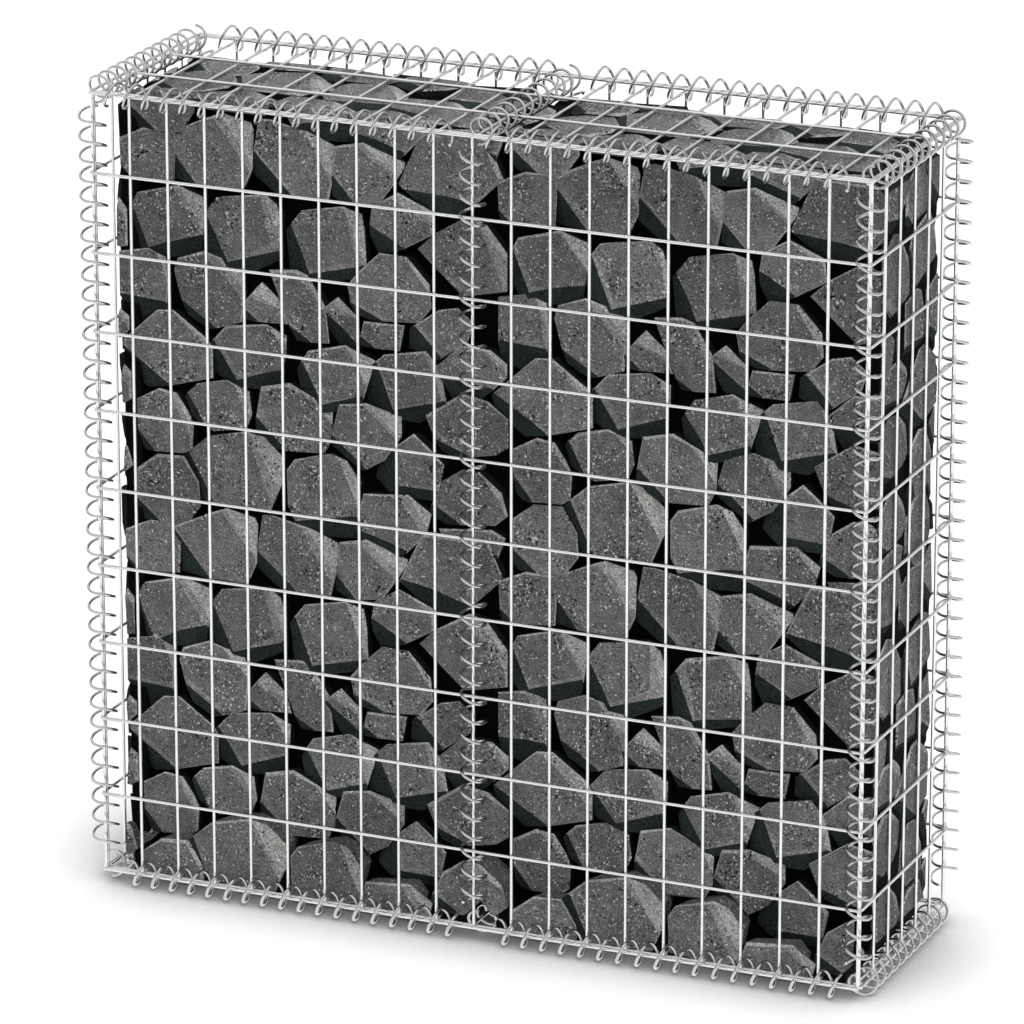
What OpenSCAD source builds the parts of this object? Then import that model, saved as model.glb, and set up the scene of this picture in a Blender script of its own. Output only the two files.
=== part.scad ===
// Gabion wall: flat welded mesh panels, laced along every edge and round the middle
// with screwed-on wire spirals, and filled with stone.
// X runs along the wall, the front faces -Y, and the origin is on the ground under the middle.

/* [Basket] */
// Length between the end panels
wall_length = 1000; // [600:10:1600]
// Depth between the standing wires of the front and back panels
wall_depth = 300; // [240:10:600]
// Height between the lowest and highest level wires of the upright panels
wall_height = 1000; // [600:10:1600]

/* [Welded mesh] */
// Thickness of the mesh wire
wire_d = 4; // [3:0.1:5]
// Spacing aimed for between the close wires
close_spacing = 50; // [40:1:70]
// Spacing aimed for between the wide wires
wide_spacing = 100; // [80:1:140]
// Depth that crossing wires are pressed into each other at a weld
weld_sink = 0.6; // [0.3:0.1:1]

/* [Lacing spirals] */
// Mean diameter of a spiral
spiral_d = 31; // [28:1:36]
// Thickness of the spiral wire
spiral_wire_d = 3.6; // [2.5:0.1:4]
// Advance aimed for in one turn of a spiral
spiral_pitch = 25; // [22:1:30]

/* [Stone fill] */
// Thickness of the stone fill from front to back
fill_depth = 190; // [100:5:200]
// Height left open between the fill and the lid
fill_headroom = 1; // [0.5:0.5:80]

/* [Fits] */
// Clearance between pieces that rest against each other
seat_gap = 0.3; // [0.2:0.1:0.6]

/* [Hidden] */
sides = ["left", "right"];
faces = ["front", "back"];
stations = ["left", "middle", "right"];
levels = ["top", "bottom"];

panel_nodes = ["front_panel", "back_panel", "left_end_panel", "right_end_panel", "lid_panel", "base_panel"];
fill_nodes = ["stone_fill"];
upright_nodes = [for (f = faces) for (s = stations) str(f, "_", s, "_upright_spiral")];
long_nodes = [for (l = levels) for (f = faces) for (s = sides) str(l, "_", f, "_", s, "_spiral")];
cross_nodes = [for (l = levels) for (s = stations) str(l, "_", s, "_cross_spiral")];

galvanised = [0.78, 0.79, 0.80];
basalt = [0.36, 0.36, 0.35];

// Distance between the axes of two wires that lie against each other
contact = wire_d + seat_gap;

// Mesh cells: the end panels fit between the front and back ones, and a wide cell of their
// depth holds a whole number of close cells
end_depth = wall_depth - 2 * contact;
close_per_wide = max(1, round(wide_spacing / close_spacing));
half_cells = round(wall_length / 2 / close_spacing);
rows = round(wall_height / wide_spacing);
wide_lanes = max(1, round(wall_depth / wide_spacing));
close_lanes = wide_lanes * close_per_wide;
cell_x = wall_length / 2 / half_cells;
cell_y = end_depth / close_lanes;
cell_z = wall_height / rows;

// Turns: each mesh cell holds a whole number of them
pitch_x = cell_x / max(1, round(cell_x / spiral_pitch));
pitch_y = cell_y / max(1, round(cell_y / spiral_pitch));
pitch_z = cell_z / max(1, round(cell_z / spiral_pitch));

// A half turn is a flat half ring leaning along the spiral: it spans the small radius in the
// plane where half rings meet and the large radius across it
function radius_spread(pitch) = pow(pitch / 4, 2) / spiral_d;
function small_radius(pitch) = (spiral_d - radius_spread(pitch)) / 2;
function large_radius(pitch) = (spiral_d + radius_spread(pitch)) / 2;
lowest_radius = max(small_radius(pitch_x), small_radius(pitch_y));
widest_radius = max(large_radius(pitch_x), large_radius(pitch_y), large_radius(pitch_z));

bar_sides = 8;

// Places of the wire layers
weld_offset = wire_d - weld_sink;
wire_end = wire_d / 2;
ground_to_mesh = lowest_radius + spiral_wire_d / 2;
front_y = wall_depth / 2;
spiral_seat = (wire_d + spiral_wire_d) / 2 + seat_gap;
corner_seat = wire_d / 2 / cos(180 / bar_sides) + spiral_wire_d / 2 + seat_gap;
// The wide wires lie beside an upright spiral's axis, where its turn is lower and meets their corners
upright_drop = pitch_z / 4 * (1 - cos(asin(weld_offset / large_radius(pitch_z))));
upright_seat = corner_seat + upright_drop;
// The middle spirals pass the wide wires of the lid and base a quarter turn earlier, on a slope
slope_angle = atan(pitch_y / 4 / small_radius(pitch_y));
middle_seat = pitch_y / 4 + corner_seat / cos(slope_angle);
corner_clear = widest_radius + spiral_wire_d + seat_gap;
fill_end_gap = wire_d / 2 + seat_gap;
fill_slope = sqrt(2) * (widest_radius + spiral_wire_d / 2 + seat_gap);
nesting_step = 0.02;
ring_facets = 72;
wire_facets = 36;

// Eight-sided wire of the given length along Z, with flats facing the axes
module wire(length) {
    rotate([0, 0, 180 / bar_sides])
        cylinder(d = wire_d / cos(180 / bar_sides), h = length, center = true, $fn = bar_sides);
}

// Welded mesh lying in the XY plane: close wires along Y at the places across,
// wide wires along X at the places along, one layer above
module mesh(across, along) {
    x_reach = 2 * (max(across) + wire_end);
    y_reach = 2 * (max(along) + wire_end);
    color(galvanised) union() {
        for (x = across) translate([x, 0, 0]) rotate([90, 0, 0]) wire(y_reach);
        for (y = along) translate([0, y, weld_offset]) rotate([0, 90, 0]) wire(x_reach);
    }
}

length_places = [for (i = [-half_cells:half_cells]) i * cell_x];
height_places = [for (i = [0:rows]) i * cell_z - wall_height / 2];
depth_places = [for (i = [0:close_lanes]) i * cell_y - end_depth / 2];
lane_places = [for (i = [0:wide_lanes]) depth_places[i * close_per_wide]];

// Places with the two edge wires moved inwards, for a panel that fits between others
function fitted(places, inset) =
    [for (p = places) p == max(places) ? p - inset : p == min(places) ? p + inset : p];

// Upright mesh across the wall's length, close wires standing, wide wires outside
module long_panel() {
    translate([0, -front_y, ground_to_mesh + wall_height / 2])
        rotate([90, 0, 0]) mesh(length_places, height_places);
}

// Upright mesh across the wall's depth, close wires standing, wide wires towards +X
module short_panel() {
    translate([0, 0, ground_to_mesh + wall_height / 2])
        rotate([90, 0, 90]) mesh(depth_places, height_places);
}

module front_panel() { long_panel(); }
module back_panel() { rotate([0, 0, 180]) long_panel(); }
module right_end_panel() { translate([wall_length / 2, 0, 0]) short_panel(); }
module left_end_panel() { rotate([0, 0, 180]) right_end_panel(); }

// Level mesh that fits between the four upright panels, wide wires outside
module level_panel() { translate([0, 0, -weld_offset]) mesh(fitted(length_places, contact), lane_places); }
module lid_panel() { translate([0, 0, ground_to_mesh + wall_height]) level_panel(); }
module base_panel() { translate([0, 0, ground_to_mesh]) mirror([0, 0, 1]) level_panel(); }

// Stone mass resting on the base wires between the end panels, with its end edges sloped off and
// a notch across its middle, above and below, where the cross spirals turn through the pile
module stone_fill() {
    inner_face = weld_offset + wire_d / 2;
    reach = wall_length / 2 - fill_end_gap;
    bottom = ground_to_mesh + inner_face + seat_gap;
    top = ground_to_mesh + wall_height - inner_face - fill_headroom;
    right_half = [[0, bottom + fill_slope], [fill_slope, bottom], [reach - fill_slope, bottom],
                  [reach, bottom + fill_slope], [reach, top - fill_slope], [reach - fill_slope, top],
                  [fill_slope, top], [0, top - fill_slope]];
    left_half = [for (i = [len(right_half) - 2:-1:1]) [-right_half[i][0], right_half[i][1]]];
    color(basalt) translate([0, fill_depth / 2, 0]) rotate([90, 0, 0])
        linear_extrude(fill_depth) polygon(concat(right_half, left_half));
}

// Half a turn of a left-handed spiral along Z; even half turns start at +X, odd ones at -X.
// Odd ones are thicker by the nesting step, so each end face lies whole within its neighbour's
module half_turn(pitch, index) {
    lean = atan((pitch / 4) / small_radius(pitch));
    even = index % 2 == 0;
    thickness = even ? spiral_wire_d : spiral_wire_d + nesting_step;
    rotate([0, even ? lean : -lean, 0]) rotate([0, 0, even ? 180 : 0])
        rotate_extrude(angle = 180, $fn = ring_facets)
            translate([large_radius(pitch), 0]) circle(d = thickness, $fn = wire_facets);
}

// Left-handed spiral along Z, in whole half turns between two heights,
// passing +X at the seat height and every pitch from it
module spiral(pitch, seat, from, to) {
    half = pitch / 2;
    first = ceil((from - seat) / half);
    last = floor((to - seat) / half) - 1;
    color(galvanised) union()
        for (i = [first:last])
            translate([0, 0, seat + (i + 0.5) * half]) half_turn(pitch, i);
}

// Upright spiral at a corner or at the middle, seated on the wide wires that lie towards turn
module upright_spiral(x, y, turn) {
    translate([x, y, ground_to_mesh]) rotate([0, 0, turn])
        spiral(pitch_z, upright_seat, corner_clear, wall_height - corner_clear);
}

module front_left_upright_spiral() { upright_spiral(-wall_length / 2, -front_y, 90); }
module front_middle_upright_spiral() { upright_spiral(0, -front_y, 180); }
module front_right_upright_spiral() { upright_spiral(wall_length / 2, -front_y, 180); }
module back_left_upright_spiral() { upright_spiral(-wall_length / 2, front_y, 0); }
module back_middle_upright_spiral() { upright_spiral(0, front_y, 0); }
module back_right_upright_spiral() { upright_spiral(wall_length / 2, front_y, -90); }

// Spiral along half a long edge, seated on the standing wires of the front or back panel
module long_spiral(y, top, side, before) {
    from = side < 0 ? corner_clear - wall_length / 2 : corner_clear;
    translate([0, y, ground_to_mesh + (top ? wall_height : 0)])
        rotate([0, 90, 0]) rotate([0, 0, top ? 0 : 180])
            spiral(pitch_x, before ? -spiral_seat : spiral_seat,
                   from, from + wall_length / 2 - 2 * corner_clear);
}

module top_front_left_spiral() { long_spiral(-front_y, true, -1, true); }
module top_front_right_spiral() { long_spiral(-front_y, true, 1, true); }
module top_back_left_spiral() { long_spiral(front_y, true, -1, false); }
module top_back_right_spiral() { long_spiral(front_y, true, 1, false); }
module bottom_front_left_spiral() { long_spiral(-front_y, false, -1, false); }
module bottom_front_right_spiral() { long_spiral(-front_y, false, 1, false); }
module bottom_back_left_spiral() { long_spiral(front_y, false, -1, true); }
module bottom_back_right_spiral() { long_spiral(front_y, false, 1, true); }

// Spiral across the depth, seated on the standing wires of an end panel, or at the middle
// on the wide wires of the lid or base
module cross_spiral(x, top, seat) {
    translate([x, -end_depth / 2, ground_to_mesh + (top ? wall_height : 0)])
        rotate([-90, 0, 0]) rotate([0, 0, top ? 90 : -90])
            spiral(pitch_y, seat, 0, end_depth);
}

module top_left_cross_spiral() { cross_spiral(-wall_length / 2, true, spiral_seat); }
module top_middle_cross_spiral() { cross_spiral(0, true, middle_seat); }
module top_right_cross_spiral() { cross_spiral(wall_length / 2, true, -spiral_seat); }
module bottom_left_cross_spiral() { cross_spiral(-wall_length / 2, false, -spiral_seat); }
module bottom_middle_cross_spiral() { cross_spiral(0, false, middle_seat); }
module bottom_right_cross_spiral() { cross_spiral(wall_length / 2, false, spiral_seat); }

front_panel();
back_panel();
left_end_panel();
right_end_panel();
lid_panel();
base_panel();
stone_fill();
front_left_upright_spiral();
front_middle_upright_spiral();
front_right_upright_spiral();
back_left_upright_spiral();
back_middle_upright_spiral();
back_right_upright_spiral();
top_front_left_spiral();
top_front_right_spiral();
top_back_left_spiral();
top_back_right_spiral();
bottom_front_left_spiral();
bottom_front_right_spiral();
bottom_back_left_spiral();
bottom_back_right_spiral();
top_left_cross_spiral();
top_middle_cross_spiral();
top_right_cross_spiral();
bottom_left_cross_spiral();
bottom_middle_cross_spiral();
bottom_right_cross_spiral();
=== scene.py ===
# %% [markdown]
# A gabion wall: flat welded mesh panels, laced along every edge and round the middle with wire spirals, and
# packed with dark broken stone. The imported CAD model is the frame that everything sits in: its boxes say
# where each panel, spiral and the stone pile are. Wires, spirals and stones are made again as fine surfaces.

# %% The frame
import itertools
import math

import bpy
import numpy as np
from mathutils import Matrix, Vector


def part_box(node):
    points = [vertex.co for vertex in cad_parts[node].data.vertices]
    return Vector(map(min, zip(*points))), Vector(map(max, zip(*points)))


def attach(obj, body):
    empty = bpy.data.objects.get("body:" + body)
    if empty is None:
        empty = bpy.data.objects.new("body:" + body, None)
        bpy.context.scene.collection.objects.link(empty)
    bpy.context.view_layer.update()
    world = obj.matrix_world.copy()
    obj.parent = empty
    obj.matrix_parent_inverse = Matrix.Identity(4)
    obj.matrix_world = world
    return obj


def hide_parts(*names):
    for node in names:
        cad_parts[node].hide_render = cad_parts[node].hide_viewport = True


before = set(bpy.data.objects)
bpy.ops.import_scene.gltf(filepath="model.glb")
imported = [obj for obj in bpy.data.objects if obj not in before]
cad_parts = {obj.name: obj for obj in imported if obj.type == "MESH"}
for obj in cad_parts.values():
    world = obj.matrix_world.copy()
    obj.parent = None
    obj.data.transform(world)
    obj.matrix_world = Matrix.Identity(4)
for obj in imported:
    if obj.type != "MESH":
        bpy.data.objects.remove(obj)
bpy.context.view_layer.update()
MM = 0.001
print("frame of", len(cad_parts), "pieces")

# %% [markdown]
# A few small helpers serve the whole lesson. Colours are picked as sRGB hex values, as a paint chart gives
# them, but Blender's shaders want linear light, so one function turns them. Materials are small networks of
# nodes, and one function adds a node with its settings and links, so that each finish reads as a list.


# %% Helpers for colours and materials
def colour(hex_code):
    """Linear colour of an sRGB hex value: each channel is undone by the sRGB curve."""
    srgb = np.array([int(hex_code[i:i + 2], 16) for i in (1, 3, 5)]) / 255
    linear = np.where(srgb <= 0.04045, srgb / 12.92, ((srgb + 0.055) / 1.055) ** 2.4)
    return (*linear.tolist(), 1.0)


def add_node(tree, kind, inputs, output=None, **settings):
    """Adds a node with its settings and a value or link for each input; returns an output or the node."""
    made = tree.nodes.new(kind)
    for name, value in settings.items():
        setattr(made, name, value)
    for socket, value in inputs.items():
        if isinstance(value, bpy.types.NodeSocket):
            tree.links.new(value, made.inputs[socket])
        else:
            made.inputs[socket].default_value = value
    return made.outputs[output] if output else made


def new_material(name):
    """A material with an empty node tree."""
    material = bpy.data.materials.new(name)
    material.use_nodes = True
    material.node_tree.nodes.clear()
    return material, material.node_tree


print("mid grey #808080 is", round(colour("#808080")[0], 3), "in linear light")

# %% [markdown]
# Every new piece is a mesh put together from whole arrays. Its place is in its own points, so its object
# stays at the origin. Each piece rides on the wall's one body and takes the place of one CAD piece, and the
# boxes of the CAD pieces give the sizes.


# %% Helpers for pieces
def make_piece(name, points, faces, material, replaced, smooth):
    """Puts arrays into a mesh in metres, hangs it on the wall's body and hides the CAD piece it stands for.
    """
    mesh = bpy.data.meshes.new(name)
    mesh.from_pydata((np.asarray(points) * MM).tolist(), [], faces)
    mesh.polygons.foreach_set("use_smooth", smooth)
    mesh.materials.append(material)
    mesh.update()
    piece = bpy.data.objects.new(name, mesh)
    bpy.context.scene.collection.objects.link(piece)
    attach(piece, "root")
    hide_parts(replaced)
    return piece


def box_mm(node_name):
    """Lowest and highest corner of a CAD piece, in millimetres."""
    low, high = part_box(node_name)
    return np.array(low) / MM, np.array(high) / MM


def unit(vectors):
    """Vectors scaled to length one."""
    vectors = np.asarray(vectors, float)
    return vectors / np.linalg.norm(vectors, axis=-1, keepdims=True)


print("stone fill from", *box_mm("stone_fill")[0].round(1), "to", *box_mm("stone_fill")[1].round(1), "mm")

# %% [markdown]
# Bright galvanised wire: drawn steel wire dipped in zinc. New zinc is a pale neutral metal with a satin
# shine, and its crystals make faint lighter and darker patches along the wire. A noise at the size of the
# crystals mixes two zinc tones. The spirals are bent from a smoother wire, and both their zinc tones are
# darker than the mesh's, a painted shade that makes the spirals read darker.


# %% Galvanised wire
def galvanised_wire(name, zinc_hex, dull_hex, roughness):
    """Zinc-coated wire: a satin metal, patched between two zinc tones about 12 mm apart."""
    crystal_size = 12 * MM
    material, tree = new_material(name)
    place = add_node(tree, "ShaderNodeTexCoord", {}, "Object")
    patches = add_node(tree, "ShaderNodeTexNoise",
                       {"Vector": place, "Scale": 1 / crystal_size, "Detail": 2.0}, "Fac")
    zinc = add_node(tree, "ShaderNodeMix", {"Factor": patches, "A": colour(zinc_hex), "B": colour(dull_hex)},
                    "Result", data_type="RGBA")
    shader = add_node(tree, "ShaderNodeBsdfPrincipled",
                      {"Base Color": zinc, "Metallic": 1.0, "Roughness": roughness}, "BSDF")
    add_node(tree, "ShaderNodeOutputMaterial", {"Surface": shader})
    return material


mesh_zinc = galvanised_wire("bright galvanised mesh wire", "#ececeb", "#dadada", 0.24)
# The spiral's zinc tones are darker than the mesh's: painted shade
shaded_spiral_zinc = galvanised_wire("galvanised spiral wire with painted shade", "#dadad9", "#a6a6a6", 0.12)
print("materials:", mesh_zinc.name, "and", shaded_spiral_zinc.name)

# %% [markdown]
# All the metal here is round wire, straight in the panels and coiled in the spirals. A curve with a bevel
# would do, but a circle carried along a path in one array gives clean rings of points, closed ends and no
# object for each wire. So one function sweeps any number of wires at once.


# %% Sweeping round wire along paths
mesh_wire_sides, spiral_wire_sides = 12, 10


def sweep(paths, sideways, wire_d, sides):
    """Round wire along each path: a circle of the wire's radius, turned about the path, at every station.

    paths has the shape (wires, stations, 3) in millimetres, and sideways gives at each station a direction
    that is not along the wire. The circle lies across the path's own direction there, found by differences.
    Returns the points, the faces as lists, and which faces are smooth: the flat ends are not.
    """
    wires, stations = paths.shape[:2]
    along = unit(np.gradient(paths, axis=1))
    first = unit(sideways - along * np.sum(sideways * along, axis=2, keepdims=True))
    second = np.cross(along, first)
    angle = (np.arange(sides) + 0.5) * 2 * np.pi / sides
    ring = first[:, :, None] * np.cos(angle)[:, None] + second[:, :, None] * np.sin(angle)[:, None]
    points = paths[:, :, None] + ring * wire_d / 2
    index = np.arange(wires * stations * sides).reshape(wires, stations, sides)
    onward = np.roll(index, -1, axis=2)
    quads = np.stack([index[:, :-1], onward[:, :-1], onward[:, 1:], index[:, 1:]], axis=-1).reshape(-1, 4)
    ends = np.concatenate([index[:, 0, ::-1], index[:, -1]])
    smooth = np.arange(len(quads) + len(ends)) < len(quads)
    return points.reshape(-1, 3), quads.tolist() + ends.tolist(), smooth


print("round wire with", mesh_wire_sides, "sides in the panels and", spiral_wire_sides, "in the spirals")

# %% [markdown]
# Each panel is two layers of straight wire, close wires and wide wires, welded where they cross, so that one
# layer sinks a little into the other. The places of the wires come from the panel's own box in the frame and
# from the number of cells counted in the photo.

# %% Sizes of the mesh, from the frame
X, Y, Z = 0, 1, 2
mesh_wire_d = 4.0
wire_r = mesh_wire_d / 2
weld_sink = 0.6
cut_edge = 0.5
layer_step = mesh_wire_d - weld_sink
half_cells, rows, close_lanes, close_per_wide = 10, 10, 6, 2

front_low, front_high = box_mm("front_panel")
end_high = box_mm("right_end_panel")[1]
half_length = front_high[X] - wire_r
front_y = front_high[Y] - wire_r
mesh_bottom, mesh_top = front_low[Z] + wire_r, front_high[Z] - wire_r
end_depth = 2 * (end_high[Y] - wire_r)
length_places = np.linspace(-half_length, half_length, 2 * half_cells + 1)
height_places = np.linspace(mesh_bottom, mesh_top, rows + 1)
depth_places = np.linspace(-end_depth / 2, end_depth / 2, close_lanes + 1)
lane_places = depth_places[::close_per_wide]
print(f"mesh {2 * half_length:.0f} by {-2 * front_y:.0f} by {mesh_top - mesh_bottom:.0f} mm")

# %% [markdown]
# The front, back and ends have close standing wires and wide level wires outside them. The lid and base have
# close wires across the wall and wide wires along it, in three lanes. All six are the same kind of grid in
# other directions, so one function lays a panel along any two axes.


# %% The six mesh panels
def mesh_panel(name, across, across_places, along, along_places, layers):
    """A welded panel: close wires run along one axis, wide wires along the other, one layer out.

    Close wires stand at across_places on the across axis and wide wires at along_places on the along axis.
    layers gives the third axis' place for close and wide wires. Wires end flush with the panel's box, and a
    station just inside each end keeps the shading of the cut edge off the rest of the wire.
    """
    low, high = box_mm(name + "_panel")
    normal = 3 - across - along
    paths, sideways = [], []
    for axis, places, run, layer in ((across, across_places, along, layers[0]),
                                     (along, along_places, across, layers[1])):
        path = np.zeros((len(places), 4, 3))
        path[:, :, axis] = np.asarray(places)[:, None]
        path[:, :, normal] = layer
        path[:, :, run] = (low[run], low[run] + cut_edge, high[run] - cut_edge, high[run])
        paths.append(path)
        sideways.append(np.zeros_like(path) + np.eye(3)[normal])
    points, faces, smooth = sweep(np.concatenate(paths), np.concatenate(sideways), mesh_wire_d,
                                   mesh_wire_sides)
    return make_piece(name + "_mesh", points, faces, mesh_zinc, name + "_panel", smooth)


lid_low, lid_high = box_mm("lid_panel")
lid_places = np.concatenate([[lid_low[X] + wire_r], length_places[1:-1], [lid_high[X] - wire_r]])
end_x = half_length + layer_step
panels = [
    mesh_panel("front", X, length_places, Z, height_places, (front_y, front_y - layer_step)),
    mesh_panel("back", X, length_places, Z, height_places, (-front_y, layer_step - front_y)),
    mesh_panel("left_end", Y, depth_places, Z, height_places, (-half_length, -end_x)),
    mesh_panel("right_end", Y, depth_places, Z, height_places, (half_length, end_x)),
    mesh_panel("lid", X, lid_places, Y, lane_places, (mesh_top - layer_step, mesh_top)),
    mesh_panel("base", X, lid_places, Y, lane_places, (mesh_bottom + layer_step, mesh_bottom)),
]
print("panels:", [len(panel.data.polygons) for panel in panels], "faces")

# %% [markdown]
# The spirals are screwed through the edge meshes, so each is a left-handed coil whose turns pass beside the
# cross wires. The path is a chain of leaning half rings: across its seat direction it spans a small radius,
# at right angles to that a slightly larger one, and it climbs as the cosine of the half turn. The same seats
# as in the frame keep every turn clear of the wires. The frame's mesh wires have eight flat sides, whose
# corners stand a little further out than round wire.

# %% Sizes of the spirals
spiral_d, spiral_wire_d, spiral_pitch, seat_gap = 31.0, 3.6, 25.0, 0.3
bar_sides = 8
cell_y = end_depth / close_lanes
pitch_y = cell_y / round(cell_y / spiral_pitch)
bar_corner = math.cos(math.pi / bar_sides)


def radii(pitch):
    """Small and large radius of a coil whose leaning half rings climb half a pitch each."""
    spread = (pitch / 4) ** 2 / spiral_d
    return (spiral_d - spread) / 2, (spiral_d + spread) / 2


large_r = radii(spiral_pitch)[1]
side_seat = (mesh_wire_d + spiral_wire_d) / 2 + seat_gap
corner_seat = wire_r / bar_corner + spiral_wire_d / 2 + seat_gap
upright_seat = corner_seat + spiral_pitch / 4 * (1 - math.cos(math.asin(layer_step / large_r)))
middle_seat = pitch_y / 4 + corner_seat / math.cos(math.atan(pitch_y / 4 / radii(pitch_y)[0]))
corner_clear = large_r + spiral_wire_d + seat_gap
print(f"spirals {spiral_d + spiral_wire_d:.1f} mm wide, pitch {spiral_pitch:.0f} mm, {pitch_y:.0f} mm across")

# %% [markdown]
# A plain helix would look much the same. But the lacing in the frame is a chain of half rings, each level
# where it begins and ends and steepest halfway, and the drawn coil has to keep clear of the same mesh wires,
# so it follows that form.


# %% A spiral
half_turn_steps = 14


def spiral(name, start, axis, seat_side, pitch, seat, ends):
    """Left-handed coil: small radius times cos t along the seat side, large radius times sin t across it.

    Each half turn climbs from its start by a quarter pitch times (1 - cos t), so half rings join without a
    kink. It runs in whole half turns between the two ends, measured from start along the axis.
    """
    half = pitch / 2
    first = math.ceil((ends[0] - seat) / half)
    last = math.floor((ends[1] - seat) / half)
    turn = np.linspace(first, last, (last - first) * half_turn_steps + 1)
    within = turn - np.floor(turn)
    climb = seat + half * np.floor(turn) + pitch / 4 * (1 - np.cos(np.pi * within))
    small, large = radii(pitch)
    axis, seat_side = np.array(axis, float), np.array(seat_side, float)
    along_seat = np.cos(np.pi * turn)[:, None] * seat_side * small
    across_seat = np.sin(np.pi * turn)[:, None] * np.cross(seat_side, axis) * large
    path = np.array(start) + climb[:, None] * axis + along_seat + across_seat
    points, faces, smooth = sweep(path[None], (along_seat + across_seat)[None], spiral_wire_d,
                                  spiral_wire_sides)
    return make_piece(name + "_coil", points, faces, shaded_spiral_zinc, name + "_spiral", smooth)


print("a spiral has", 2 * half_turn_steps, "rings of points to a turn")

# %% [markdown]
# Six spirals stand upright at the ends and the middle of the two long faces, eight run in halves along the
# top and bottom edges, and six cross the depth. A loop makes each kind. A spiral's seat side is the direction
# in which its full turns begin.

# %% The twenty spirals
stations = {"left": -half_length, "middle": 0.0, "right": half_length}
face_y = {"front": front_y, "back": -front_y}
upright_sides = {"front": {"left": (0, 1, 0), "middle": (-1, 0, 0), "right": (-1, 0, 0)},
                 "back": {"left": (1, 0, 0), "middle": (1, 0, 0), "right": (0, -1, 0)}}
levels = {"top": (mesh_top, (0, 0, -1), 1), "bottom": (mesh_bottom, (0, 0, 1), -1)}
upright_ends = (corner_clear, mesh_top - mesh_bottom - corner_clear)
spirals = []
for face, sides in upright_sides.items():
    for station, side in sides.items():
        foot = (stations[station], face_y[face], mesh_bottom)
        name = f"{face}_{station}_upright"
        spirals.append(spiral(name, foot, (0, 0, 1), side, spiral_pitch, upright_seat, upright_ends))
for level, (level_z, side, sign) in levels.items():
    for face, y in face_y.items():
        seat = sign * math.copysign(side_seat, y)
        for half, begin in (("left", -half_length), ("right", 0.0)):
            name, start = f"{level}_{face}_{half}", (0, y, level_z)
            ends = (begin + corner_clear, begin + half_length - corner_clear)
            spirals.append(spiral(name, start, (1, 0, 0), side, spiral_pitch, seat, ends))
    for station, seat in (("left", sign * side_seat), ("middle", middle_seat), ("right", -sign * side_seat)):
        name, start = f"{level}_{station}_cross", (stations[station], -end_depth / 2, level_z)
        spirals.append(spiral(name, start, (0, 1, 0), side, pitch_y, seat, (0, end_depth)))
print(len(spirals), "spirals,", sum(len(coil.data.polygons) for coil in spirals), "faces")

# %% [markdown]
# Broken basalt: a fine-grained dark grey rock. Fresh flat faces are mid grey. Light and shade are partly
# painted into the colour, as the light alone would not give these steps: each face of a stone carries a tone,
# 1 for a facet towards the light, painted paler as painted light, 0 for a flat face in the rock's own grey,
# -1 for an underside, painted dark and slightly green as painted shade, and -2 for a deep side, painted
# nearly black as painted shade, like the gaps between stones. Each stone also has a shade of its own, a
# random tint, and noises from grit to blotches of a few centimetres vary the colour, the finest drawn coarser
# than real so that it shows.

# %% Broken basalt: colour of the rock, with painted light and shade
PAINTED_LIGHT, FLAT, PAINTED_UNDER_SHADE, PAINTED_DEEP_SHADE = 1.0, 0.0, -1.0, -2.0
grit_size, mottle_size, blotch_size = 1.9 * MM, 9 * MM, 35 * MM
basalt, tree = new_material("broken basalt")
place = add_node(tree, "ShaderNodeTexCoord", {}, "Object")
tone = add_node(tree, "ShaderNodeAttribute", {}, "Fac", attribute_name="tone")
shade = add_node(tree, "ShaderNodeAttribute", {}, "Fac", attribute_name="shade")
rock = colour("#6d6d6d")
# Facets towards the light get painted light, undersides painted shade, deep sides painted black shade
tone_steps = ((FLAT, PAINTED_LIGHT, "#9a9a98"), (FLAT, PAINTED_UNDER_SHADE, "#2b3331"), (PAINTED_UNDER_SHADE, PAINTED_DEEP_SHADE, "#050505"))
for tone_from, tone_to, hex_code in tone_steps:
    share = add_node(tree, "ShaderNodeMapRange", {"Value": tone, "From Min": tone_from, "From Max": tone_to},
                     "Result")
    rock = add_node(tree, "ShaderNodeMix", {"Factor": share, "A": rock, "B": colour(hex_code)}, "Result",
                    data_type="RGBA")


def noise(size, detail, roughness):
    """Level of a rock texture with features of one size, in metres, and finer ones mixed in."""
    return add_node(tree, "ShaderNodeTexNoise",
                    {"Vector": place, "Scale": 1 / size, "Detail": detail, "Roughness": roughness}, "Fac")


noise_low, noise_high = 0.3, 0.7
grit = noise(grit_size, detail=2.0, roughness=0.6)
mottle = noise(mottle_size, detail=2.0, roughness=0.5)
blotches = noise(blotch_size, detail=2.0, roughness=0.5)
variations = ((blotches, noise_low, noise_high, 0.18), (mottle, noise_low, noise_high, 0.16),
              (grit, noise_low, noise_high, 0.6), (shade, 0.0, 1.0, 0.18))
for variation, low, high, spread in variations:
    level = add_node(tree, "ShaderNodeMapRange", {"Value": variation, "From Min": low, "From Max": high,
                                                  "To Min": 1 - spread, "To Max": 1 + spread}, "Result")
    rock = add_node(tree, "ShaderNodeVectorMath", {0: rock, "Scale": level}, "Vector", operation="SCALE")
print("rock textures of", [round(size / MM, 1) for size in (grit_size, mottle_size, blotch_size)], "mm")
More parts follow.
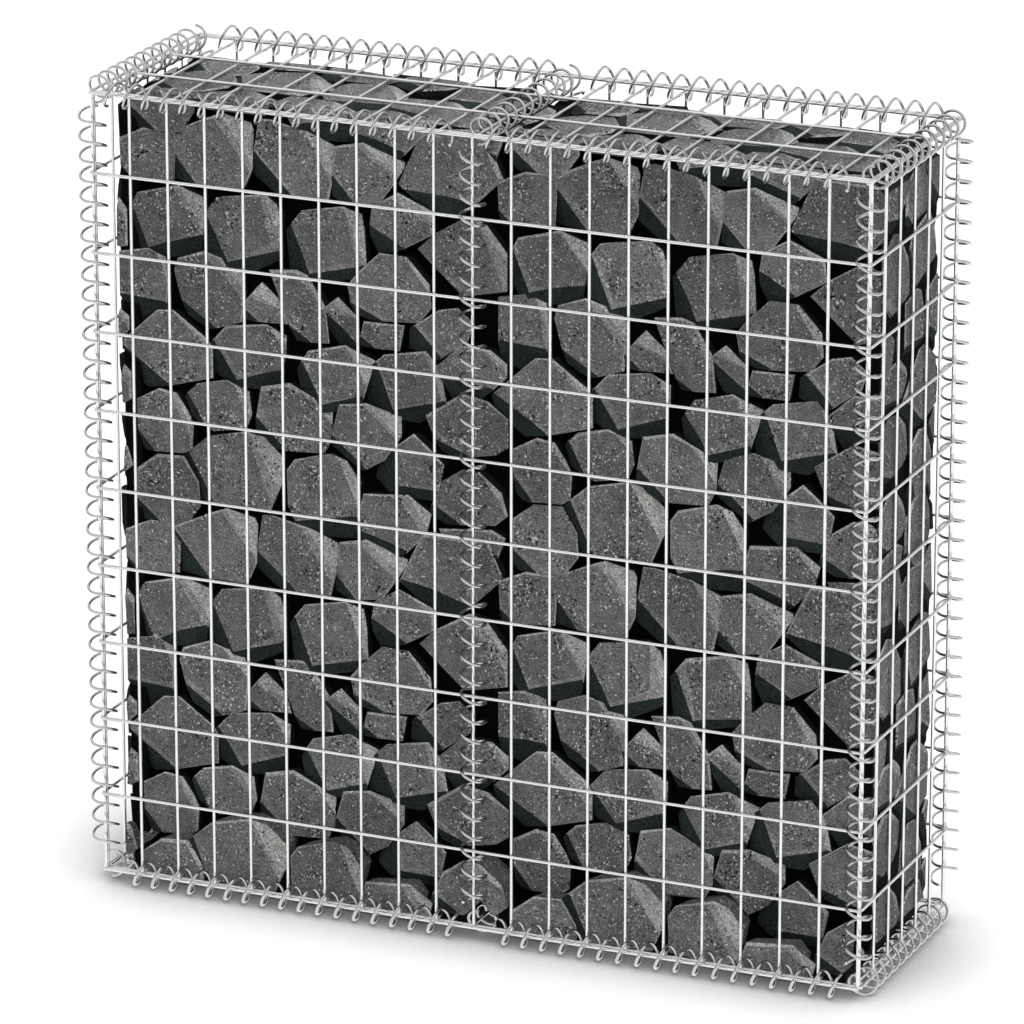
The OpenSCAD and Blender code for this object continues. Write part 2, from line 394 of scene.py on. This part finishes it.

# %% [markdown]
# Gas bubbles leave small pits in basalt, painted near black as painted shade in the hollows, and crystals
# show as pale specks, a little closer together in some places than in others. Both come from one fine noise:
# its highest spots are specks and its lowest are pits, and the same noise roughens the surface. Undersides,
# darkened by painted shade, show no specks.

# %% Broken basalt: pits, specks and surface
speck_size, cluster_size = 3.1 * MM, 26 * MM
sparse_at, dense_at = 0.4, 0.68
speck_sparse, speck_dense = 0.68, 0.63
pit_sparse, pit_dense = 0.3, 0.4
speck_tone = -0.4
grain_height = 4 * MM
grains = noise(speck_size, detail=2.0, roughness=0.6)
clusters = noise(cluster_size, detail=1.0, roughness=0.5)
speck_from = add_node(tree, "ShaderNodeMapRange",
                      {"Value": clusters, "From Min": sparse_at, "From Max": dense_at,
                       "To Min": speck_sparse, "To Max": speck_dense}, "Result")
pit_from = add_node(tree, "ShaderNodeMapRange",
                    {"Value": clusters, "From Min": sparse_at, "From Max": dense_at,
                     "To Min": pit_sparse, "To Max": pit_dense}, "Result")
specks = add_node(tree, "ShaderNodeMath", {0: grains, 1: speck_from}, "Value", operation="GREATER_THAN")
pits = add_node(tree, "ShaderNodeMath", {0: grains, 1: pit_from}, "Value", operation="LESS_THAN")
shown = add_node(tree, "ShaderNodeMapRange", {"Value": tone, "From Min": PAINTED_UNDER_SHADE, "From Max": speck_tone},
                 "Result")
specks = add_node(tree, "ShaderNodeMath", {0: specks, 1: shown}, "Value", operation="MULTIPLY")
# Pits are painted near black: painted shade in the hollows
rock = add_node(tree, "ShaderNodeMix", {"Factor": pits, "A": rock, "B": colour("#0c0d0d")}, "Result",
                data_type="RGBA")
rock = add_node(tree, "ShaderNodeMix", {"Factor": specks, "A": rock, "B": colour("#dadad6")}, "Result",
                data_type="RGBA")
rough = add_node(tree, "ShaderNodeBump", {"Height": grains, "Strength": 0.7, "Distance": grain_height},
                 "Normal")
shader = add_node(tree, "ShaderNodeBsdfPrincipled", {"Base Color": rock, "Roughness": 0.9, "Normal": rough,
                                                     "Specular IOR Level": 0.1}, "BSDF")
add_node(tree, "ShaderNodeOutputMaterial", {"Surface": shader})
print("material:", basalt.name)

# %% [markdown]
# The fill is broken basalt in pieces of about a hand's breadth, set by hand with a flat side out. A broken
# stone is bounded by flat planes: its sides, a flat face, split facets and worn edges. Scattered blocks would
# do for any pile, but the photo's stones can be told apart, so each is an outline with facet lines. Their
# points were read from the photo and are given in millimetres from the mesh's top left corner. One patch of
# stones repeats along and up the wall, and the photo shows the same patch shifted on the end and on the top.
# The unseen sides repeat these.

# %% Outlines of one patch of stones, in millimetres right of and below the mesh corner
SUNNY, SHADED = "sunny", "shaded"
patch_size = (503, 501)
patch = [
    ([(24, 490), (51, 469), (87, 467), (106, 498), (108, 528), (89, 555), (40, 556), (22, 525)],
     [(SHADED, 22, 526, 58, 555)]),
    ([(5, 71), (24, 62), (40, 55), (79, 55), (80, 81), (78, 117), (30, 121), (7, 113)],
     [(SHADED, 5, 101, 27, 121)]),
    ([(80, 55), (122, 35), (145, 26), (180, 35), (184, 43), (184, 93), (176, 108), (171, 119), (81, 118)],
     [(SUNNY, 141, 26, 182, 85), (SHADED, 80, 67, 121, 117)]),
    ([(194, 28), (233, 26), (258, 37), (294, 44), (291, 89), (284, 120), (231, 120), (187, 90), (188, 62)],
     [(SUNNY, 253, 38, 290, 92), (SHADED, 187, 66, 225, 104)]),
    ([(297, 50), (332, 42), (385, 61), (384, 71), (371, 89), (355, 114), (327, 119), (293, 105), (292, 83)],
     [(SUNNY, 330, 42, 378, 81), (SHADED, 292, 84, 324, 118)]),
    ([(409, 23), (493, 22), (513, 67), (499, 81), (463, 116), (420, 114), (382, 78), (397, 46)],
     [(SHADED, 390, 85, 487, 102)]),
    ([(26, 147), (31, 137), (85, 122), (120, 135), (121, 159), (117, 180), (110, 200), (61, 206), (35, 198),
      (27, 186)],
     [(SUNNY, 85, 122, 119, 176), (SHADED, 51, 199, 118, 178), (SHADED, 26, 151, 43, 192)]),
    ([(127, 145), (137, 132), (201, 121), (215, 132), (222, 151), (222, 186), (201, 199), (172, 214),
      (145, 211), (127, 194)],
     [(SUNNY, 199, 121, 219, 178), (SHADED, 127, 145, 153, 211), (SHADED, 151, 209, 223, 186)]),
    ([(238, 151), (250, 136), (304, 125), (327, 132), (331, 151), (334, 192), (320, 202), (269, 214),
      (240, 206)],
     [(SUNNY, 304, 124, 329, 186), (SHADED, 238, 151, 261, 213), (SHADED, 258, 212, 334, 193)]),
    ([(343, 120), (376, 100), (420, 118), (423, 145), (388, 165), (353, 172), (341, 133)],
     [(SHADED, 341, 139, 388, 166), (SUNNY, 371, 100, 421, 122)]),
    ([(403, 166), (425, 145), (468, 119), (490, 125), (518, 159), (518, 205), (463, 217), (428, 188)],
     [(SUNNY, 476, 121, 520, 172), (SHADED, 417, 179, 466, 217)]),
    ([(5, 214), (44, 206), (66, 215), (69, 250), (67, 276), (35, 295), (5, 283)],
     [(SUNNY, 50, 206, 69, 250), (SHADED, 5, 265, 69, 269)]),
    ([(78, 231), (83, 215), (118, 202), (164, 215), (170, 229), (170, 250), (167, 285), (135, 296),
      (89, 272)],
     [(SUNNY, 129, 203, 171, 246), (SHADED, 78, 254, 140, 296)]),
    ([(194, 233), (221, 254), (229, 280), (175, 282), (172, 260)],
     [(SUNNY, 178, 246, 225, 265), (SHADED, 172, 265, 194, 282)]),
    ([(207, 215), (242, 211), (277, 223), (280, 253), (290, 269), (289, 297), (258, 299), (237, 291)],
     [(SUNNY, 248, 211, 281, 265), (SHADED, 234, 280, 265, 299)]),
    ([(297, 239), (322, 260), (324, 295), (299, 297), (292, 272), (282, 252)],
     [(SUNNY, 285, 245, 323, 265), (SHADED, 292, 265, 324, 289)]),
    ([(353, 177), (388, 178), (417, 209), (420, 237), (404, 257), (361, 260), (315, 242), (311, 221),
      (327, 202)],
     [(SUNNY, 377, 177, 420, 229), (SHADED, 314, 240, 363, 261)]),
    ([(332, 265), (384, 264), (378, 295), (339, 296), (328, 281)],
     [(SHADED, 330, 283, 350, 296)]),
    ([(404, 258), (431, 239), (455, 234), (475, 250), (468, 272), (441, 292), (398, 286)],
     [(SHADED, 402, 262, 431, 292)]),
    ([(7, 327), (54, 284), (75, 282), (121, 314), (127, 324), (127, 361), (78, 375), (40, 377), (7, 353)],
     [(SUNNY, 71, 281, 127, 324), (SHADED, 7, 332, 71, 376)]),
    ([(137, 304), (147, 293), (201, 285), (226, 297), (226, 318), (221, 339), (211, 358), (162, 359),
      (137, 350)],
     [(SUNNY, 200, 285, 227, 322), (SHADED, 163, 357, 223, 335), (SHADED, 137, 320, 162, 359)]),
    ([(250, 323), (258, 311), (307, 298), (345, 314), (338, 336), (331, 362), (277, 376), (253, 358)],
     [(SUNNY, 310, 298, 336, 350), (SHADED, 250, 322, 278, 375), (SHADED, 277, 374, 334, 355)]),
    ([(347, 314), (358, 304), (413, 293), (431, 315), (438, 350), (420, 362), (398, 376), (371, 373),
      (340, 362)],
     [(SUNNY, 412, 293, 435, 353), (SHADED, 350, 315, 372, 373), (SHADED, 373, 369, 439, 350)]),
    ([(437, 301), (460, 280), (498, 281), (519, 296), (519, 312), (498, 332), (450, 339)],
     [(SHADED, 439, 319, 509, 327), (SUNNY, 489, 280, 520, 304)]),
    ([(25, 401), (55, 384), (78, 387), (93, 409), (100, 423), (98, 455), (87, 462), (50, 464), (26, 441)],
     [(SHADED, 25, 431, 52, 464), (SUNNY, 71, 385, 100, 431)]),
    ([(99, 380), (108, 371), (147, 362), (176, 373), (180, 401), (172, 420), (129, 428), (110, 420)],
     [(SHADED, 101, 388, 121, 427), (SUNNY, 151, 362, 180, 396)]),
    ([(186, 404), (193, 365), (231, 356), (265, 372), (287, 385), (286, 420), (276, 439), (237, 441),
      (188, 419)],
     [(SUNNY, 261, 370, 287, 420), (SHADED, 186, 401, 218, 431)]),
    ([(290, 406), (299, 374), (334, 368), (379, 380), (380, 404), (358, 436), (338, 448), (310, 431),
      (290, 417)],
     [(SUNNY, 334, 368, 379, 407), (SHADED, 291, 409, 335, 448)]),
    ([(397, 399), (417, 415), (436, 433), (430, 463), (420, 471), (377, 472), (353, 458), (361, 431),
      (377, 415)],
     [(SHADED, 377, 413, 375, 472), (SHADED, 355, 464, 431, 465)]),
    ([(412, 374), (431, 361), (460, 341), (493, 347), (519, 366), (519, 401), (503, 412), (468, 419),
      (425, 404)],
     [(SHADED, 420, 398, 476, 419), (SUNNY, 485, 345, 520, 377)]),
    ([(92, 474), (100, 455), (121, 437), (172, 425), (195, 430), (221, 455), (220, 482), (203, 522),
      (124, 522)],
     [(SUNNY, 174, 425, 216, 495), (SHADED, 99, 455, 130, 522)]),
    ([(228, 466), (238, 452), (287, 438), (306, 445), (324, 471), (322, 498), (314, 536), (242, 538),
      (229, 511)],
     [(SUNNY, 287, 438, 321, 506), (SHADED, 234, 529, 320, 511)]),
    ([(330, 484), (389, 478), (418, 499), (412, 525), (388, 549), (339, 546), (320, 534), (324, 506)],
     [(SUNNY, 387, 477, 416, 521), (SHADED, 322, 525, 390, 548)]),
    ([(422, 482), (434, 455), (460, 437), (482, 437), (511, 460), (519, 487), (503, 501), (458, 506),
      (428, 493)],
     [(SHADED, 423, 483, 463, 506), (SUNNY, 475, 437, 515, 474)]),
    ([(441, 515), (498, 509), (515, 517), (506, 541), (458, 546)],
     [(SHADED, 444, 528, 509, 538)]),
]
print(len(patch), "stones in the patch")

# %% [markdown]
# A stone is what is left of space when each of its planes has cut off what lies beyond it. Cutting a block
# plane by plane would do, but it is simpler to look for the corners: each is a point where three planes meet
# and which no other plane cuts off.

# %% From planes to a stone
corner_triples = {}
least_volume, on_plane_within, one_corner = 1e-4, 1e-4, 0.1


def stone_faces(normals, offsets):
    """Corners and faces of the solid that lies on the inner side of every plane.

    Every three planes are solved for the point where they meet, and a point stays if no plane cuts it off.
    Points that nearly coincide are one corner, which lies on all their planes. A face is the corners on one
    plane, in order of their angle about the face's middle, seen from outside.
    """
    count = len(normals)
    if count not in corner_triples:
        corner_triples[count] = np.array(list(itertools.combinations(range(count), 3)))
    triples = corner_triples[count]
    triples = triples[np.abs(np.linalg.det(normals[triples])) > least_volume]
    meets = np.linalg.solve(normals[triples], offsets[triples][:, :, None])[:, :, 0]
    inside = np.all(meets @ normals.T <= offsets + on_plane_within, axis=1)
    if not inside.any():
        return meets[inside], [], []
    meets, triples = meets[inside], triples[inside]
    coincide = np.linalg.norm(meets[:, None] - meets, axis=2) < one_corner
    kept, corner_of = np.unique(coincide.argmax(axis=1), return_inverse=True)
    corners = meets[kept]
    on_planes = np.zeros((count, len(corners)), bool)
    on_planes[triples, corner_of[:, None]] = True
    faces, planes = [], np.flatnonzero(on_planes.sum(axis=1) > 2)
    for plane in planes:
        on_plane = np.flatnonzero(on_planes[plane])
        spokes = corners[on_plane] - corners[on_plane].mean(axis=0)
        first = unit(spokes[0])
        angle = np.arctan2(spokes @ np.cross(normals[plane], first), spokes @ first)
        faces.append(on_plane[np.argsort(angle)])
    return corners, faces, planes


block_corners, block_faces, _ = stone_faces(np.concatenate([np.eye(3), -np.eye(3)]), np.ones(6))
print("six planes make a block of", len(block_corners), "corners and", len(block_faces), "faces")

# %% [markdown]
# The planes of a stone follow from its outline. The face leans a little, pale facets slope off towards the
# light and shaded ones away from it, and a shaded facet runs on beyond the outline, as the dark flanks do in
# the photo. Narrow planes along the edges are where the stones have worn against each other.

# %% The planes of one stone
stone_depth = 62.0
side_taper = math.radians(9)
lean_most, slope_spread = 0.05, 0.05
# Worn edges and ridges are painted paler: wear, and partly a painted highlight
worn_and_highlight_ridge_tone, worn_and_highlight_edge_tone = 0.5, 0.9
facet_slope = {SUNNY: math.radians(17), SHADED: math.radians(20)}
# Facets towards the light are painted light, shaded facets painted shade
facet_tone = {SUNNY: PAINTED_LIGHT, SHADED: PAINTED_UNDER_SHADE}
snug, shaded_reach, worn_edge, worn_ridge = 1.2, 12.0, 2.2, 1.4
set_back_most = 4.0
# Tone of the sides, painted shade, for the stones of the pile and, where True, of its foot
painted_side_shade = {False: -1.6, True: -0.5}
OUT = np.array([0.0, 0.0, 1.0])


def stone_planes(outline, facets, face_level, painted_side_shade, random):
    """Planes (normal, a point on it, tone) of a stone lying with its flat face up at face_level.

    Sides stand a little outside the outline's edges, further out beyond a shaded facet, and taper inwards, in
    the sides' tone, a painted shade. The face leans by a small random amount, each facet slopes away from its
    line, and planes halfway between two neighbours are the worn ridges and edges.
    """
    level = face_level - random.uniform(0.0, set_back_most)
    middle = np.append(outline.mean(axis=0), level)
    corner = np.insert(outline, 2, level, axis=1)
    edge = np.roll(corner, -1, axis=0) - corner
    edge_out = unit(np.cross(edge, OUT))
    edge_out *= np.sign(np.sum(edge_out * (corner + edge / 2 - middle), axis=1, keepdims=True))
    sides = unit(edge_out * math.cos(side_taper) - OUT * math.sin(side_taper))
    planes = [(unit(OUT + (*random.uniform(-lean_most, lean_most, 2), 0.0)), middle, FLAT)]
    # The back of a stone is painted black: painted shade
    planes.append((-OUT, middle - OUT * stone_depth, PAINTED_DEEP_SHADE))
    reach = np.full((len(corner), 1), snug)
    for kind, x0, y0, x1, y1 in facets:
        at = np.array([x0, y0, level])
        across = unit([y1 - y0, x0 - x1, 0.0])
        across *= np.sign(across @ (at - middle))
        tilt = facet_slope[kind] + random.uniform(-slope_spread, slope_spread)
        planes.append((across * math.sin(tilt) + OUT * math.cos(tilt), at, facet_tone[kind]))
        worn = across * math.sin(tilt / 2) + OUT * math.cos(tilt / 2)
        planes.append((worn, at - across * worn_ridge, worn_and_highlight_ridge_tone))
        if kind == SHADED:
            reach[(corner + edge / 2 - at) @ across > 0] = shaded_reach
    planes += [(normal, at, painted_side_shade) for normal, at in zip(sides, corner + edge_out * reach)]
    worn_at = corner + edge_out * (reach - worn_edge)
    return planes + [(normal, at, worn_and_highlight_edge_tone) for normal, at in zip(unit(edge_out + OUT), worn_at)]


slopes = {kind: round(math.degrees(slope)) for kind, slope in facet_slope.items()}
print("stones", stone_depth, "mm deep, facets sloping by degrees", slopes)

# %% [markdown]
# The pile has six faces, each covered by the patch. The lowest stones settle into the cells of the base, and
# the lowest row of the front and back has run out towards the mesh, so a foot of stones hides the base.

# %% The faces of the pile
fill_low, fill_high = box_mm("stone_fill")
coil_reach = large_r + spiral_wire_d / 2 + seat_gap
coil_room = math.sqrt(2) * coil_reach
settled_to, foot_height, foot_reach = 8.0, 50.0, 36.0
pile_low = np.array([fill_low[X], fill_low[Y], settled_to])
run_out = np.array([0.0, foot_reach, 0.0])
# What the stones of the pile and, where True, of its foot keep to
boxes = {False: (pile_low, fill_high), True: (pile_low - run_out, fill_high + run_out)}
end_patch_right, end_patch_above, top_patch_at = 520, 28, (482, 493)
# Each face of the pile: right, up and outward directions, and the patch point above the frame's origin
pile_faces = {
    "front": ((1, 0, 0), (0, 0, 1), (0, -1, 0), (half_length, mesh_top)),
    "back": ((-1, 0, 0), (0, 0, 1), (0, 1, 0), (half_length, mesh_top)),
    "right": ((0, 1, 0), (0, 0, 1), (1, 0, 0), (end_patch_right, mesh_top + end_patch_above)),
    "left": ((0, -1, 0), (0, 0, 1), (-1, 0, 0), (end_patch_right, mesh_top + end_patch_above)),
    "top": ((1, 0, 0), (0, 1, 0), (0, 0, 1), top_patch_at),
    "bottom": ((1, 0, 0), (0, -1, 0), (0, 0, -1), top_patch_at),
}
print("the pile has", len(pile_faces), "faces and stands", settled_to, "mm above the ground")

# %% [markdown]
# Stones of two faces would run through each other at the pile's edges, so planes at 45 degrees mitre them
# there. Other planes slope the stones off where a cross spiral turns, at the ends and, in two halves, at the
# middle.


# %% What cuts the stones
# The faces these planes leave are painted dark: painted shade
slope_tone, mitre_tone, halving_tone, bevel_tone = -1.2, -1.5, -1.6, -0.6


def end_slopes(low, high):
    """Planes that slope off the four end edges of the pile, where the cross spirals turn."""
    corners = itertools.product(((-1, low[X]), (1, high[X])), ((-1, low[Z]), (1, high[Z])))
    return [(unit([x_sign, 0, z_sign]), np.array([x - x_sign * coil_room, 0, z]), slope_tone)
            for (x_sign, x), (z_sign, z) in corners]


def pile_cuts(turn, low, high):
    """Planes, in a face's own directions, that keep its stones to the face: mitres and end slopes."""
    cuts = [(OUT, high, FLAT)]
    for axis, sign in itertools.product((0, 1), (-1, 1)):
        limit = np.where(np.arange(3) == axis, high if sign > 0 else low, high)
        cuts.append((unit(sign * np.eye(3)[axis] - OUT), limit, mitre_tone))
    return cuts + [(turn @ normal, turn @ at, tone) for normal, at, tone in end_slopes(fill_low, fill_high)]


def meets_coil(low, high):
    """Whether a stone between two corners comes near a middle spiral above or below."""
    margin = coil_room + shaded_reach
    along = low[X] < margin and high[X] > -margin
    return along and (high[Z] > mesh_top - margin or low[Z] < mesh_bottom + margin)


def coil_cuts(side, turn):
    """Planes that keep the half of a stone on one side of the middle and slope off where the spirals turn."""
    if not side:
        return []
    cuts = [(turn @ (-side * np.eye(3)[X]), np.zeros(3), halving_tone)]
    for sign, level in ((1, mesh_top), (-1, mesh_bottom)):
        normal = unit([-side, 0, sign])
        cuts.append((turn @ normal, turn @ ((0, 0, level) - normal * coil_reach), bevel_tone))
    return cuts


print("stones keep", round(coil_reach, 1), "mm from the axis of a spiral")

# %% [markdown]
# Each stone goes into four lists: its points, its faces, and the tone and shade that the rock's colour reads.
# They become one mesh at the end, because the whole pile stands for one CAD piece.

# %% Adding a stone to the pile
middle_shade, fewest_faces = 0.5, 4
random = np.random.default_rng(11)
points, faces, tones, shades = [], [], [], []


def add_stone(planes, turn, shade_of_stone=middle_shade):
    """Adds one stone to the pile, turned back from its face's own directions to the wall's.

    A stone that its cuts have taken away is left out.
    """
    normals = np.array([plane[0] for plane in planes])
    offsets = np.array([plane[0] @ plane[1] for plane in planes])
    corners, rings, used = stone_faces(normals, offsets)
    if len(rings) < fewest_faces:
        return
    begin = sum(map(len, points))
    points.append(corners @ turn)
    faces.extend((ring + begin).tolist() for ring in rings)
    tones.extend(planes[k][2] for k in used)
    shades.extend([shade_of_stone] * len(rings))


print("a stone needs at least", fewest_faces, "faces")

# %% [markdown]
# The patch is laid side by side over each face. Stones that lie too far outside are passed over, those of the
# foot slide a little so that they sit as in the photo, and those at a middle spiral are made in two halves.

# %% All the stones
smallest_stone = 12.0
foot_slide = np.array([15.6, 11.0])
patch_steps = range(-2, 3)
for right, up, out, patch_at in pile_faces.values():
    turn = np.array([right, up, out], float)
    turned = {foot: np.sort([turn @ low, turn @ high], axis=0) for foot, (low, high) in boxes.items()}
    cuts = {foot: pile_cuts(turn, low, high) for foot, (low, high) in turned.items()}
    for column, row in itertools.product(patch_steps, repeat=2):
        shift = np.multiply((column, row), patch_size) - patch_at
        for outline, facets in patch:
            ring = (np.array(outline) + shift) * (1, -1)
            foot = up == (0, 0, 1) and ring[:, 1].mean() < foot_height
            low, high = turned[foot]
            inside = np.minimum(ring.max(axis=0), high[:2]) - np.maximum(ring.min(axis=0), low[:2])
            if inside.min() < smallest_stone:
                continue
            slide = foot_slide if foot and out == (0, -1, 0) else np.zeros(2)
            lines = [(kind, x0 + shift[0] + slide[0], slide[1] - y0 - shift[1],
                      x1 + shift[0] + slide[0], slide[1] - y1 - shift[1]) for kind, x0, y0, x1, y1 in facets]
            planes = stone_planes(ring + slide, lines, high[2], painted_side_shade[foot], random) + cuts[foot]
            if foot and out[Y]:
                for sign in (-1, 1):
                    normal = sign * np.eye(3)[X]
                    planes.append((turn @ normal, turn @ (normal * (fill_high[X] - foot_slide[0])), FLAT))
            place = np.insert(ring + slide, 2, high[2], axis=1) @ turn
            halves = (-1, 1) if meets_coil(place.min(axis=0), place.max(axis=0)) else (0,)
            shade_of_stone = random.uniform()
            for side in halves:
                add_stone(planes + coil_cuts(side, turn), turn, shade_of_stone)
print(len(points), "stones")

# %% [markdown]
# Between the stones one looks into a dark pile and never through it. Real stones fill the inside, but they
# would not be seen, so blocks painted black, as painted shade, close it off: one behind all the faces, a post
# in each upright corner, and one in each half of the foot.

# %% The dark inside of the pile, and the finished piece
core_depth = np.array([6.0, 24.0, 10.0])
corner_inset, corner_width, foot_inset, foot_top, foot_gap = 5.0, 22.0, 8.0, 34.0, 1.0


def block_planes(low, high):
    """The six planes, painted black as painted shade, of an upright block between two corners."""
    lower = [(-np.eye(3)[axis], low, PAINTED_DEEP_SHADE) for axis in (X, Y, Z)]
    return lower + [(np.eye(3)[axis], high, PAINTED_DEEP_SHADE) for axis in (X, Y, Z)]


core_low, core_high = fill_low + core_depth, fill_high - core_depth
add_stone(block_planes(core_low, core_high) + end_slopes(core_low, core_high), np.eye(3))
for x_sign, y_sign in itertools.product((-1, 1), (-1, 1)):
    corner = (fill_high[:2] - corner_inset) * (x_sign, y_sign)
    inner = (fill_high[:2] - corner_inset - corner_width) * (x_sign, y_sign)
    post_low = np.append(np.minimum(corner, inner), fill_low[Z] + coil_room)
    post_high = np.append(np.maximum(corner, inner), fill_high[Z] - coil_room)
    add_stone(block_planes(post_low, post_high), np.eye(3))
foot_x, foot_y = fill_high[X] - foot_slide[0] - foot_inset, fill_high[Y] + foot_reach - foot_inset
for left, right in ((-foot_x, -coil_reach), (coil_reach, foot_x)):
    foot_low = np.array([left, -foot_y, settled_to + foot_gap])
    foot_high = np.array([right, foot_y, foot_top])
    add_stone(block_planes(foot_low, foot_high), np.eye(3))
flat_shaded = np.zeros(len(faces), bool)
stones = make_piece("stones", np.concatenate(points), faces, basalt, "stone_fill", flat_shaded)
for attribute, values in (("tone", tones), ("shade", shades)):
    stones.data.attributes.new(attribute, "FLOAT", "FACE").data.foreach_set("value", values)
print(len(faces), "faces of stone")

# %% [markdown]
# The wall stands on a plain matt floor. So that the floor looks white in the open without more light on the
# wall, it glows for the camera's own rays, and for the rays by which a shiny wire mirrors it. For the camera
# the glow fades where something stands close over the floor, a painted shade that keeps the soft shadow at
# the foot of the wall.

# %% The floor
floor_half = 9.0
floor_lift, wire_lift, open_within = 0.8, 0.9, 0.2
closed_below, open_above, openness_samples = 0.4, 0.95, 8
floor_mesh = bpy.data.meshes.new("floor")
floor_corners = [(-floor_half, -floor_half, 0), (floor_half, -floor_half, 0),
                 (floor_half, floor_half, 0), (-floor_half, floor_half, 0)]
floor_mesh.from_pydata(floor_corners, [], [(0, 1, 2, 3)])
floor = bpy.data.objects.new("floor", floor_mesh)
bpy.context.scene.collection.objects.link(floor)
floor_paint, tree = new_material("matt studio floor")
# The glow is cut near anything close over the floor: painted shade
openness = add_node(tree, "ShaderNodeAmbientOcclusion", {"Distance": open_within}, "AO",
                    samples=openness_samples)
openness = add_node(tree, "ShaderNodeMapRange", {"Value": openness, "From Min": closed_below,
                                                 "From Max": open_above, "To Max": floor_lift}, "Result")
rays = add_node(tree, "ShaderNodeLightPath", {})
lift = add_node(tree, "ShaderNodeMath", {0: rays.outputs["Is Camera Ray"], 1: openness}, "Value",
                operation="MULTIPLY")
lift = add_node(tree, "ShaderNodeMath", {0: rays.outputs["Is Glossy Ray"], 1: wire_lift, 2: lift}, "Value",
                operation="MULTIPLY_ADD")
matt = add_node(tree, "ShaderNodeBsdfDiffuse", {"Color": colour("#949494")}, "BSDF")
glow = add_node(tree, "ShaderNodeEmission", {"Color": colour("#ffffff"), "Strength": lift}, "Emission")
both = add_node(tree, "ShaderNodeAddShader", {0: matt, 1: glow}, "Shader")
add_node(tree, "ShaderNodeOutputMaterial", {"Surface": both})
floor_mesh.materials.append(floor_paint)
print("floor", 2 * floor_half, "m across")

# %% [markdown]
# A white surround takes the place of a studio's walls and ceiling. The camera sees it as plain white. As a
# light it is weak at the horizon and stronger overhead, so upper sides are paler than upright ones.

# %% The surround
horizon_light, zenith_light = 0.4, 1.2
world = bpy.data.worlds.new("white surround")
world.use_nodes = True
tree = world.node_tree
tree.nodes.clear()
way = add_node(tree, "ShaderNodeTexCoord", {}, "Generated")
height = add_node(tree, "ShaderNodeSeparateXYZ", {"Vector": way}, "Z")
light = add_node(tree, "ShaderNodeMapRange",
                 {"Value": height, "To Min": horizon_light, "To Max": zenith_light}, "Result")
seen = add_node(tree, "ShaderNodeLightPath", {}, "Is Camera Ray")
strength = add_node(tree, "ShaderNodeMapRange", {"Value": seen, "To Min": light, "To Max": 1.0}, "Result")
surround = add_node(tree, "ShaderNodeBackground", {"Color": colour("#ffffff"), "Strength": strength},
                    "Background")
add_node(tree, "ShaderNodeOutputWorld", {"Surface": surround})
bpy.context.scene.world = world
print("surround from", horizon_light, "at the horizon to", zenith_light, "overhead")

# %% [markdown]
# One broad lamp from the upper right makes the facets of the stones read. A sun lamp with a wide angle has
# soft shadows, and its level is the same all over the wall. The wires don't mirror it, so they have no hot
# spots.

# %% The lamp
lamp_level, lamp_spread = 1.8, 50
lamp = bpy.data.lights.new("broad lamp", "SUN")
lamp.energy = lamp_level
lamp.angle = math.radians(lamp_spread)
lamp_object = bpy.data.objects.new("broad lamp", lamp)
lamp_object.visible_glossy = False
lamp_from = Vector((0.62, -0.62, 0.72))
lamp_object.rotation_euler = lamp_from.to_track_quat("Z", "Y").to_euler()
bpy.context.scene.collection.objects.link(lamp_object)
bpy.context.scene.view_settings.view_transform = "Standard"
print("lamp", lamp_level, "strong and", lamp_spread, "degrees wide")

# %% [markdown]
# The photo was taken from far off with a long lens, from the right of the front and a little above. The
# camera's place was found by fitting the crossings of the mesh wires.

# %% The camera
view_azimuth, view_elevation = math.radians(23.365), math.radians(18.380)
view_distance, view_at, view_end = 8.570, Vector((-0.0140, 0.0, 0.5027)), 100.0
sensor, frame_pixels, focal_pixels = 36.0, 1024, 7032.0
towards = Vector((math.sin(view_azimuth) * math.cos(view_elevation),
                  -math.cos(view_azimuth) * math.cos(view_elevation), math.sin(view_elevation)))
camera = bpy.data.objects.new("camera", bpy.data.cameras.new("camera"))
camera.data.sensor_width = sensor
camera.data.lens = focal_pixels / frame_pixels * sensor
camera.data.clip_end = view_end
camera.location = view_at + towards * view_distance
camera.rotation_euler = towards.to_track_quat("Z", "Y").to_euler()
bpy.context.scene.collection.objects.link(camera)
bpy.context.scene.camera = camera
print("camera lens", round(camera.data.lens, 1), "mm")
